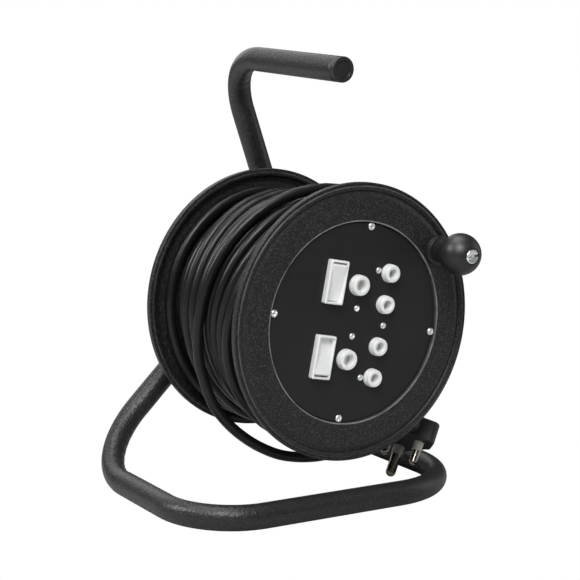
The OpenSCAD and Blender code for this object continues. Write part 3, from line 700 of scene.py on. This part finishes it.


# A shader group that paints a lighter grey, in patches, along a circle round the axle: a painted
# highlight for the light that a rounded edge catches.
edge_highlight, takes, gives = group(
    "Shader", "painted_edge_highlight",
    {"Vector": "Vector", "Colour": "Color", "Worn": "Color", "Radius": "Float", "Width": "Float"},
    {"Colour": "Color"})
apart = edge_highlight.nodes.new("ShaderNodeSeparateXYZ")
over_x, over_z = (sums(edge_highlight, "SUBTRACT", apart.outputs[k], axle_at[k] * mm) for k in (0, 2))
from_axle = sums(edge_highlight, "SQRT", sums(
    edge_highlight, "ADD", sums(edge_highlight, "MULTIPLY", over_x, over_x), sums(edge_highlight, "MULTIPLY", over_z, over_z)))
off_edge = sums(edge_highlight, "ABSOLUTE", sums(edge_highlight, "SUBTRACT", from_axle, takes["Radius"]))
on_edge = sums(edge_highlight, "MAXIMUM", sums(
    edge_highlight, "SUBTRACT", 1.0, sums(edge_highlight, "DIVIDE", off_edge, takes["Width"])), 0.0)
patches = preset(edge_highlight.nodes.new("ShaderNodeTexNoise"), Scale=70, Detail=4)
patchy = sums(edge_highlight, "MULTIPLY", sums(edge_highlight, "POWER", patches.outputs[0], 1.5), 2.6)
highlit = sums(edge_highlight, "MINIMUM", sums(edge_highlight, "MULTIPLY", on_edge, patchy), 1.0)
link(edge_highlight, (takes["Vector"], apart.inputs[0]), (takes["Vector"], patches.inputs["Vector"]),
     (blend(edge_highlight, highlit, takes["Colour"], takes["Worn"]), gives["Colour"]))

leather_black = finish(
    "leather_black", (0.010, 0.010, 0.011), 0.46, spread=0.16, dust=(0.07, 0.07, 0.072), dusty=0.14,
    scale=8, cells=480, share=0.55, bump=0.75, depth=0.3, fleck=(0.06, 0.06, 0.064),
    Specular_IOR_Level=0.3)
tree = leather_black.node_tree
shader = tree.nodes["Principled BSDF"]
place = tree.nodes.new("ShaderNodeTexCoord").outputs["Object"]
# Painted highlights: thin lighter grey rings on the rounded edge of the sunk middle and on the
# rolled rim's bead.
for radius, width, highlight_grey in ((81.2, 0.8, 0.26), (108.4, 0.5, 0.10)):
    edge = preset(node_in(tree, "ShaderNodeGroup", node_tree=edge_highlight), Radius=radius * mm,
                  Width=width * mm, Worn=(highlight_grey, highlight_grey, highlight_grey, 1))
    painted = shader.inputs["Base Color"].links[0].from_socket
    link(tree, (place, edge.inputs["Vector"]), (painted, edge.inputs["Colour"]),
         (edge.outputs[0], shader.inputs["Base Color"]))
barrel_black = finish("barrel_black", (0.03, 0.03, 0.032), 0.45, cells=400, bump=0.2)
to_axle = spin(-90, "X")
rear_outline = [(r, drum_w - y) for r, y in flange_outline(13.1)]
for name, outline, node in (("flange_front", flange_outline(62), "front_flange"),
                            ("flange_rear", rear_outline, "rear_flange")):
    piece(name, turned(outline, 192, in_drum @ to_axle), leather_black, "drum", node)
dress(barrel_black, "drum_barrel")


# ---------- drum: hub, bushes and rear screws ----------
# A turned steel hub with a plate behind the rear flange, its two nylon bushes, and the screws
# that hold the plate and the flange.
bush_nylon = finish("bush_nylon", (0.72, 0.70, 0.62), 0.5, dust=(0.4, 0.38, 0.33), dusty=0.3,
                    scale=60, cells=1200, bump=0.1, depth=0.03)
screw_zinc = finish(
    "screw_zinc", (0.93, 0.95, 0.96), 0.42, spread=0.3, dust=(0.62, 0.66, 0.70), dusty=0.5,
    scale=300, cells=2500, share=0.3, bump=0.15, depth=0.03, Metallic=1.0)
dress(bush_nylon, "hub_bushes")

# Geometry Nodes: the same piece set out at points, each turned by its own angles.
set_out, takes, gives = group(
    "Geometry", "set_out", {"Geometry": "Geometry", "Pattern": "Object", "Finish": "Material"},
    {"Geometry": "Geometry"})
pattern = node_in(set_out, "GeometryNodeObjectInfo", transform_space="ORIGINAL")
turns = preset(node_in(set_out, "GeometryNodeInputNamedAttribute", data_type="FLOAT_VECTOR"),
               Name="turn")
as_angle = set_out.nodes.new("FunctionNodeEulerToRotation")
placed = set_out.nodes.new("GeometryNodeInstanceOnPoints")
real = set_out.nodes.new("GeometryNodeRealizeInstances")
coat = set_out.nodes.new("GeometryNodeSetMaterial")
link(
    set_out, (takes["Geometry"], placed.inputs["Points"]),
    (takes["Pattern"], pattern.inputs["Object"]),
    (pattern.outputs["Geometry"], placed.inputs["Instance"]),
    (turns.outputs[0], as_angle.inputs[0]), (as_angle.outputs[0], placed.inputs["Rotation"]),
    (placed.outputs[0], real.inputs[0]),
    (real.outputs[0], coat.inputs["Geometry"]), (takes["Finish"], coat.inputs["Material"]),
    (coat.outputs[0], gives["Geometry"]))


def repeated(pattern_mesh, places, coat_of):
    """A mesh of the pattern at each of the places, which are matrices."""
    points = bpy.data.meshes.new("points")
    points.from_pydata([p.to_translation() for p in places], [], [])
    turn = points.attributes.new("turn", "FLOAT_VECTOR", "POINT")
    for row, p in zip(turn.data, places):
        row.vector = p.to_euler("XYZ")
    one = in_scene("pattern", pattern_mesh)
    made = grown(points, set_out, Pattern=one, Finish=coat_of)
    bpy.data.objects.remove(one)
    return made


def cross_screw(head_d, head_h, shank_d, shank_l):
    """A pan-head screw along Z, its head above zero, with a cross pressed into it."""
    solid = bmesh.new()
    r, sides = head_d / 2, 48
    arm_w, arm_slope, arm_reach, arm_end, arm_deep = 0.13 * head_d, 0.06 * head_d, 0.56, 0.14, 0.62
    rows = []
    for share, height in ((0, 1), (0.12, 1), (0.2, 1), (0.32, 0.98), (0.46, 0.95), (0.6, 0.9),
                          (0.74, 0.8), (0.88, 0.62), (0.97, 0.36), (1.0, 0.12), (0.98, 0)):
        row = []
        for k in range(sides):
            a = 2 * pi * k / sides
            arm = max(abs(cos(a)), abs(sin(a)))
            off = share * r * min(abs(cos(a)), abs(sin(a)))
            sunk = eased((arm_w - off) / arm_slope) * eased((arm_reach - share * arm) / arm_end)
            row.append(solid.verts.new((*polar(share * r, a), head_h * (height - arm_deep * sunk))))
        rows.append(row)
    shank_r = shank_d / head_d * r
    for height in (0, -shank_l):
        rows.append([solid.verts.new((*polar(shank_r, 2 * pi * k / sides), height))
                     for k in range(sides)])
    skin(solid, rows)
    solid.faces.new(rows[-1])
    bmesh.ops.remove_doubles(solid, verts=solid.verts, dist=1e-4)
    outward(solid)
    bmesh.ops.transform(solid, matrix=to_metres, verts=solid.verts)
    return mesh_of(solid, "screw")


def in_drum_at(x, y, z):
    return in_drum @ moved(x, y, z)


def on_panel(x, z, y, turn=0.0, backwards=False):
    """The place of a screw in the drum, its head towards the front or the rear."""
    return in_drum_at(x, y, z) @ spin(-90 if backwards else 90, "X") @ spin(turn, "Z")


rear_face, hub_plate = drum_w - well_y, 3
for name, r, start, y, head, node in (
    ("hub_plate_screws", 24, 45, rear_face + hub_plate, 7.5, "hub_screws"),
    ("rear_lip_screws", 66.5, 0, rear_face, 7, "rear_flange_screws"),
):
    spots = [on_panel(*polar(r, radians(a)), y, 3.7 * a, True)
             for a in range(start, start + 360, 90)]
    piece(name, repeated(cross_screw(head, 2.2, 3.9, 7), spots, screw_zinc), screw_zinc, "drum",
          node)


# ---------- panel and its screws ----------
# A round dark sheet, smooth with a faint satin sheen, that fills the front flange's sunk middle
# and carries the sockets and switches. Nine small zinc screws hold it and them.
def softened(node, width):
    """A copy of a CAD node with its edges rounded a little."""
    solid = bmesh.new()
    solid.from_mesh(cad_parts[node].data)
    bmesh.ops.remove_doubles(solid, verts=solid.verts, dist=1e-6)
    bmesh.ops.dissolve_limit(solid, angle_limit=radians(0.5), verts=solid.verts,
                             edges=solid.edges)
    return smoothed(
        mesh_of(solid, node + "_soft"),
        ("BEVEL", {"width": width * mm, "segments": 2, "limit_method": "ANGLE",
                   "angle_limit": radians(40), "use_clamp_overlap": True}))


panel_black = finish(
    "panel_black", (0.012, 0.012, 0.013), 0.46, spread=0.16, dust=(0.06, 0.06, 0.06), dusty=0.16,
    scale=16, cells=1100, share=0.3, bump=0.3, Specular_IOR_Level=0.28)
piece("panel_sheet", softened("socket_panel", 0.3), panel_black, "drum",
      "socket_panel")
panel_face, group_z, rim_screws_r = 2.1, 0.3, 77.3
end_screw_x, end_screw_z, side_screw_x = 14.4, 43.5, 28.2
socket_spots = [(end_screw_x, end_screw_z), (-0.6, 11.2), (side_screw_x, 0), (-0.6, -11.2),
                (end_screw_x, -end_screw_z)]
for name, screw, spots, node in (
    ("panel_rim_screws", cross_screw(6.4, 1.9, 3.2, 4),
     [on_panel(*polar(rim_screws_r, radians(a)), panel_face, 31 + a * 1.7)
      for a in range(0, 360, 90)], "panel_screws"),
    ("panel_socket_screws", cross_screw(5.3, 1.6, 2.8, 7.6),
     [on_panel(x, group_z + z, panel_face, 20 + 37 * i) for i, (x, z) in enumerate(socket_spots)],
     "socket_screws"),
):
    piece(name, repeated(screw, spots, screw_zinc), screw_zinc, "drum", node)


# ---------- sockets ----------
# Two white mouldings behind the panel. The collars round their pin holes come through it, and
# brass sleeves in them grip the pins.
def joined(*meshes):
    solid = bmesh.new()
    for mesh in meshes:
        solid.from_mesh(mesh)
    return mesh_of(solid, "joined")


def prism(outline, low, high, place, round_low=0.0, round_high=0.0):
    """An outline in mm, given thickness along Z, with its two rims rounded."""
    solid = bmesh.new()
    ends = [[solid.verts.new((x, y, h)) for x, y in outline] for h in (low, high)]
    bottom, top = solid.faces.new(ends[0][::-1]), solid.faces.new(ends[1])
    skin(solid, ends)
    most = max(round_low, round_high, 0.01)
    weight = solid.edges.layers.float.new("bevel_weight_edge")
    for face, size in ((bottom, round_low), (top, round_high)):
        for edge in face.edges:
            edge[weight] = size / most
    outward(solid)
    made = smoothed(mesh_of(solid, "prism"),
                    ("BEVEL", {"width": most, "segments": 4, "limit_method": "WEIGHT"}))
    made.transform(place @ to_metres)
    return made


def box_outline(x, y, w, h, corner):
    return rounded([(x - w / 2, y - h / 2), (x + w / 2, y - h / 2), (x + w / 2, y + h / 2),
                    (x - w / 2, y + h / 2)], corner)


# In the panel's plane an outline's X is across, its Y up, and thickness runs to the rear.
panel_plane = in_drum @ Matrix(((1, 0, 0, 0), (0, 0, 1, 0), (0, 1, 0, 0), (0, 0, 0, 1)))
socket_white = finish(
    "socket_white", (0.90, 0.90, 0.885), 0.34, spread=0.14, dust=(0.62, 0.61, 0.58), dusty=0.25,
    scale=45, cells=1800, share=0.4, bump=0.08, depth=0.03, Subsurface_Weight=0.06)
contact_brass = finish(
    "contact_brass", (0.66, 0.47, 0.18), 0.32, spread=0.25, dust=(0.35, 0.24, 0.10), dusty=0.6,
    scale=120, cells=900, share=0.2, bump=0.1, depth=0.04, Metallic=1.0)
dress(contact_brass, "upper_socket_contacts", "lower_socket_contacts", "switch_terminals")
collar_front = panel_face - 6.3
sheet_back, moulding_back, sockets_apart = well_y, 10.1, 29.8


def collar_outline(r, bore, sleeve, deep, outer):
    """A collar, its bore and the wider sleeve behind it that holds the contact."""
    return rounded([
        (bore, moulding_back, 0.1), (bore, collar_front, 0.7), (r - 0.35, collar_front, 1.1),
        (r - 0.3, -0.7, 0.2), (r, -0.5, 0.4), (r, 5.1, 0.2), (outer, 5.2, 0.1),
        (outer, sheet_back + deep, 0.4), (sleeve, sheet_back + deep, 0.2),
        (sleeve, moulding_back, 0.1)], 0.2)


for side, name in ((1, "upper_socket"), (-1, "lower_socket")):
    middle = group_z + side * sockets_apart
    parts = []
    for spots, values in (
        ([(25.2, middle + 12.7), (25.2, middle - 12.7)], (7.4, 3.8, 4.7, 32, 6.8)),
        ([(-3.4, middle)], (8.3, 4.65, 5.6, 38, 7.6)),
    ):
        one = turned(collar_outline(*values), 72, Matrix.Identity(4))
        parts.append(repeated(one, [in_drum_at(x, 0, z) @ to_axle for x, z in spots], socket_white))
    lug = (5.65 - side * 1.5, 8.55 - side * 1.5)
    for x, z, w, h, low, high in (
        (10.5, middle - side * 0.5, 44, 38, sheet_back + 0.05, moulding_back),
        (end_screw_x, group_z + side * end_screw_z, 11.6, 11.6, sheet_back + 0.05, moulding_back),
        (side_screw_x, group_z + side * 6, 9, 14, *lug), (side_screw_x, group_z, 9, 8, *lug),
    ):
        parts.append(prism(box_outline(x, z, w, h, 1.5), low, high, panel_plane, 0.4, 0.4))
    piece(name + "_moulding", joined(*parts), socket_white, "drum", name)


# ---------- switches ----------
# A white frame clipped into the panel beside each socket, with a glossy rocker that tips on two
# stub pins.
switch_white = finish(
    "switch_white", (0.90, 0.90, 0.89), 0.30, spread=0.12, dust=(0.66, 0.65, 0.62), dusty=0.2,
    scale=45, cells=1800, share=0.4, bump=0.06, depth=0.03, Subsurface_Weight=0.05)
rocker_white = finish(
    "rocker_white", (0.89, 0.89, 0.88), 0.22, spread=0.1, dust=(0.70, 0.69, 0.66), dusty=0.18,
    scale=45, cells=900, share=0.4, bump=0.05, depth=0.03, Subsurface_Weight=0.05)
switch_x, bezel_front = -26.6, panel_face - 5.2
bezel_w, bezel_h, opening_w, opening_h = 8.7, 17.4, 6.9, 15.6
outer_round, inner_round = 1.1, 0.35
rocker_sunk, pivot_back, rocker_tilt = 2.2, 5, 11
rocker_half, rocker_side, rocker_reach = 14.5, 6.6, 15.3
pivot_y = bezel_front + rocker_sunk + pivot_back
for side, place, tip in ((1, "upper", -rocker_tilt), (-1, "lower", rocker_tilt)):
    middle = group_z + side * sockets_apart
    # Half a width, half a height, corner and depth of each level, from the back over the front
    # and down into the opening.
    levels = [(8.1, 16.8, 0.6, 26.1), (8.1, 16.8, 0.6, 2.3), (bezel_w, bezel_h, 1.3, 2.1),
              (bezel_w, bezel_h, 1.3, bezel_front + outer_round)]
    for a in (0.4, 0.8, 1.2, 1.57):
        inwards = outer_round * (1 - cos(a))
        levels.append((bezel_w - inwards, bezel_h - inwards, 1.3,
                       bezel_front + outer_round * (1 - sin(a))))
    for a in (0, 0.5, 1.0, 1.57):
        outwards = inner_round * (1 - sin(a))
        levels.append((opening_w + outwards, opening_h + outwards, 0.9,
                       bezel_front + inner_round * (1 - cos(a))))
    levels.append((opening_w, opening_h, 0.8, bezel_front + 17.9))
    switch_frame = bmesh.new()
    rows = [[switch_frame.verts.new((x, y, depth))
             for x, y in box_outline(switch_x, middle, 2 * half_w, 2 * half_h, corner)]
            for half_w, half_h, corner, depth in levels]
    skin(switch_frame, rows)
    switch_frame.faces.new(rows[0])
    switch_frame.faces.new(rows[-1])
    bmesh.ops.transform(switch_frame, matrix=panel_plane @ to_metres, verts=switch_frame.verts)
    outward(switch_frame)
    piece(place + "_switch_frame", smoothed(mesh_of(switch_frame, "switch_frame")), switch_white,
          "drum", place + "_switch")

    # The rocker's outline is seen from its end pin: X is up along the rocker, Y runs forwards.
    face = [(z, pivot_back - 0.45 * (1 - (z / rocker_half) ** 2))
            for z in [rocker_half - 2 * rocker_half * k / 16 for k in range(17)]]
    end = arc(0, 0, rocker_reach, (-8, -2, 5, 12))
    outline = rounded(end + face + [(-x, y, 0) for x, y, _ in end[::-1]] + [(-7, -4), (7, -4)],
                      0.5, 3)
    tilt = (in_drum_at(switch_x, pivot_y, middle) @ spin(-tip, "X")
            @ Matrix(((0, 0, 1, 0), (0, -1, 0, 0), (1, 0, 0, 0), (0, 0, 0, 1))))
    rocker = prism(outline, -rocker_side, rocker_side, tilt, 0.5, 0.5)
    pins = turned(rounded([(0, -7.8), (1.5, -7.8), (1.5, 7.8), (0, 7.8)], 0.3), 24, tilt)
    piece(place + "_rocker_cap", joined(rocker, pins), rocker_white, place + "_rocker",
          place + "_rocker")


# ---------- winding knob ----------
# A satin black moulded ball on a neck, which spins on a zinc screw with a slotted head. A
# stepped washer of the same plastic stands under it on the flange.
knob_black = finish(
    "knob_black", (0.010, 0.010, 0.011), 0.42, dust=(0.09, 0.09, 0.09), dusty=0.16, scale=26,
    cells=1500, share=0.4, bump=0.12, depth=0.05, Specular_IOR_Level=0.5)
knob_x, knob_z = polar(95.2, radians(44.8))
at_knob = in_drum_at(knob_x, 0, knob_z) @ spin(90, "X")
ball_r, neck_r, fillet, ball_at = 17.0, 10.2, 6.0, 30.0
fillet_at = ball_at - sqrt((ball_r + fillet) ** 2 - (neck_r + fillet) ** 2)
lean = atan2(ball_at - fillet_at, neck_r + fillet)
bore_r, seat_r, seat_at, ball_top = 4.05, 6.1, 43, 15.4
grip_outline = [(bore_r, 5.3, 0.2), (neck_r, 5.3, 0.8)]
grip_outline += [(neck_r + fillet - fillet * cos(lean * k / 8),
                  fillet_at + fillet * sin(lean * k / 8), 0) for k in range(9)]
grip_outline += [(ball_r * cos(a), ball_at + ball_r * sin(a), 0)
                 for a in [-lean + (lean + asin(ball_top / ball_r)) * k / 40
                           for k in range(1, 41)]]
grip_outline += [(6.6, 45.5, 0.1), (seat_r, 45.4, 0.2), (seat_r, seat_at, 0.2),
                 (bore_r, seat_at, 0.2)]
piece("knob_ball", turned(rounded(grip_outline, 0.3), 96, at_knob), knob_black, "knob",
      "knob_grip")
piece("knob_foot", turned(rounded([
    (4.1, 0), (12, 0, 0.3), (12, 3.5, 0.7), (10.7, 3.7, 0.3), (10.6, 5, 0.5), (4.1, 5)], 0.2), 80,
    at_knob), knob_black, "drum", "knob_base")


def cut(mesh, away, place):
    """A mesh in mm without the space of another, at its place."""
    cutter = in_scene("cutter", away)
    made = settled_mesh(
        mesh, ("BOOLEAN", {"object": cutter, "operation": "DIFFERENCE", "solver": "EXACT"}))
    bpy.data.objects.remove(cutter)
    made.transform(place @ to_metres)
    return made


in_mm = Matrix.Scale(1 / mm, 4)
screw_top, slot_w, slot_deep, slot_turned = 46, 1.9, 1.7, 20
screw = turned(rounded([
    (0, screw_top), (5.2, 45.9, 0.6), (5.8, 45.2, 0.3), (5.8, 43.3, 0.2), (4, 43.3, 0.1),
    (4, 0, 0.1), (3, 0, 0.1), (3, -5.6, 0.3), (0, -5.6)], 0.2), 72, in_mm)
slot = bmesh.new()
bmesh.ops.create_cube(
    slot, size=1, matrix=Matrix.Translation((0, 0, screw_top)) @ spin(slot_turned, "Z")
    @ Matrix.Diagonal((16, slot_w, 2 * slot_deep, 1)))
piece("knob_screw", cut(screw, mesh_of(slot, "slot"), at_knob), screw_zinc, "drum",
      "knob_spindle")
dress(screw_zinc, "knob_nut", "plug_screw")


# ---------- inside the barrel ----------
# The rubber ring and saddle that hold the cord's inner end, and the three wires from it to the
# switches and sockets, in their usual colours.
grommet_rubber = finish(
    "grommet_rubber", (0.014, 0.014, 0.014), 0.55, dust=(0.08, 0.08, 0.08), dusty=0.2, scale=30,
    cells=1400, share=0.4, bump=0.25, depth=0.05)
dress(grommet_rubber, "cord_grommet")
dress(socket_white, "cord_clamp")
for colour, value, node in (
    ("wire_brown", (0.16, 0.06, 0.02), "live_wire"),
    ("wire_blue", (0.02, 0.09, 0.34), "neutral_wire"),
    ("wire_green", (0.10, 0.28, 0.03), "earth_wire"),
):
    dress(finish(colour, value, 0.4, dust=(0.3, 0.3, 0.25), dusty=0.15, scale=60, cells=1600,
                 bump=0.1, depth=0.03), node)


# ---------- plug ----------
# A black moulded round-pin plug in two halves, held by one screw from behind. Its three plated
# brass pins have pale sleeves at their roots, and a ribbed rubber taper leads the cord in.
plug_black = finish(
    "plug_black", (0.018, 0.018, 0.018), 0.5, dust=(0.10, 0.10, 0.10), dusty=0.25, scale=30,
    cells=1700, bump=0.4, depth=0.07)
pin_nickel = finish(
    "pin_nickel", (0.58, 0.54, 0.47), 0.22, spread=0.3, dust=(0.24, 0.15, 0.09), dusty=1.1,
    scale=120, cells=1200, share=0.2, bump=0.1, depth=0.03, stretch=(1, 1, 0.3), Metallic=1.0)
collar_grey = finish(
    "collar_grey", (0.62, 0.62, 0.58), 0.42, spread=0.15, dust=(0.35, 0.34, 0.31), dusty=0.4,
    scale=90, cells=1500, share=0.4, bump=0.1, depth=0.03)
in_plug = moved(94.8, -35.5, 41.8) @ spin(-37.5, "Z") @ spin(18, "Y") @ spin(-32, "X")


def belt(circles, step=6):
    """The outline round circles, each x, y and radius, taken anticlockwise."""
    out = []
    count = len(circles)
    ways = []
    for i in range(count):
        (ax, ay, ar), (bx, by, br) = circles[i], circles[(i + 1) % count]
        ways.append(degrees(atan2(by - ay, bx - ax)) - 90
                    + degrees(asin((br - ar) / hypot(bx - ax, by - ay))))
    for i, (x, y, r) in enumerate(circles):
        start, end = ways[i - 1], ways[i]
        while end < start:
            end += 360
        parts = max(1, round((end - start) / step))
        angles = [start + (end - start) * k / parts for k in range(parts + 1)]
        out += [corner[:2] for corner in arc(x, y, r, angles)]
    return out


plug_outline = belt([(-18.5, -6, 6), (18.5, -6, 6), (19, 8, 5.5), (0, 28.6, 14), (-19, 8, 5.5)])
piece("plug_front_half", prism(plug_outline, 0, 9.45, in_plug, 1.4, 0.35), plug_black, "stand",
      "plug_base")
cover = prism(plug_outline, 9.55, 19, in_mm, 0.35, 2.4)
well = turned([(0, 16.4), (3.6, 16.4), (3.6, 22), (0, 22)], 48, in_mm)
well.transform(Matrix.Translation((0, 13, 0)))
piece("plug_rear_half", cut(cover, well, in_plug), plug_black, "stand", "plug_cover")

line_pin_x, earth_pin_y = 12.7, 28.6
for name, x, y, d, long, node in (
    ("pin_earth", 0, earth_pin_y, 8.71, 28.6, "plug_earth_pin"),
    ("pin_live", line_pin_x, 0, 7.05, 21.1, "plug_live_pin"),
    ("pin_neutral", -line_pin_x, 0, 7.05, 21.1, "plug_neutral_pin"),
):
    r, root = d / 2, d / 2 - 0.3
    dome = [(r * sin(radians(a)), -long + r - r * cos(radians(a)), 0)
            for a in range(0, 91, 9)]
    outline = rounded(dome + [(r, -8, 0.2), (root, -7.9, 0.1), (root, 5.8), (0, 5.8)], 0.1)
    piece("plug_" + name, turned(outline, 56, in_plug @ moved(x, y, 0)),
          pin_nickel, "stand", node)
collars = []
for x, y, bore, r in ((0, earth_pin_y, 4.085, 5.2), (-line_pin_x, 0, 3.255, 4.4),
                      (line_pin_x, 0, 3.255, 4.4)):
    outline = rounded([(bore, -8, 0.2), (r - 0.25, -8, 0.4), (r - 0.25, -2.2, 0.3), (r, -1.7, 0.3),
                       (r, 5.5), (bore, 5.5)], 0.2)
    collars.append(turned(outline, 56, in_plug @ moved(x, y, 0)))
piece("plug_pin_sleeves", joined(*collars), collar_grey, "stand", "plug_pin_collars")

grip_line = tail_line[grip_from:]
grip_fine = [one.lerp(two, k / 3) for one, two in zip(grip_line, grip_line[1:]) for k in range(3)]
grip_fine.append(grip_line[-1])
ribs, thin_end, thick_end = 6, 4.75, 7.05
grip_radii = []
for i in range(len(grip_fine)):
    share = i / (len(grip_fine) - 1)
    rib = 0.3
    if 0.05 < share < 0.95:
        rib = 0.45 * eased(0.5 + 0.9 * cos(2 * pi * share * ribs))
    grip_radii.append((thin_end + (thick_end - thin_end) * share + rib) * mm)
piece("plug_taper", tube_along(grip_fine, grip_radii, 28), grommet_rubber, "stand",
      "plug_cord_grip")
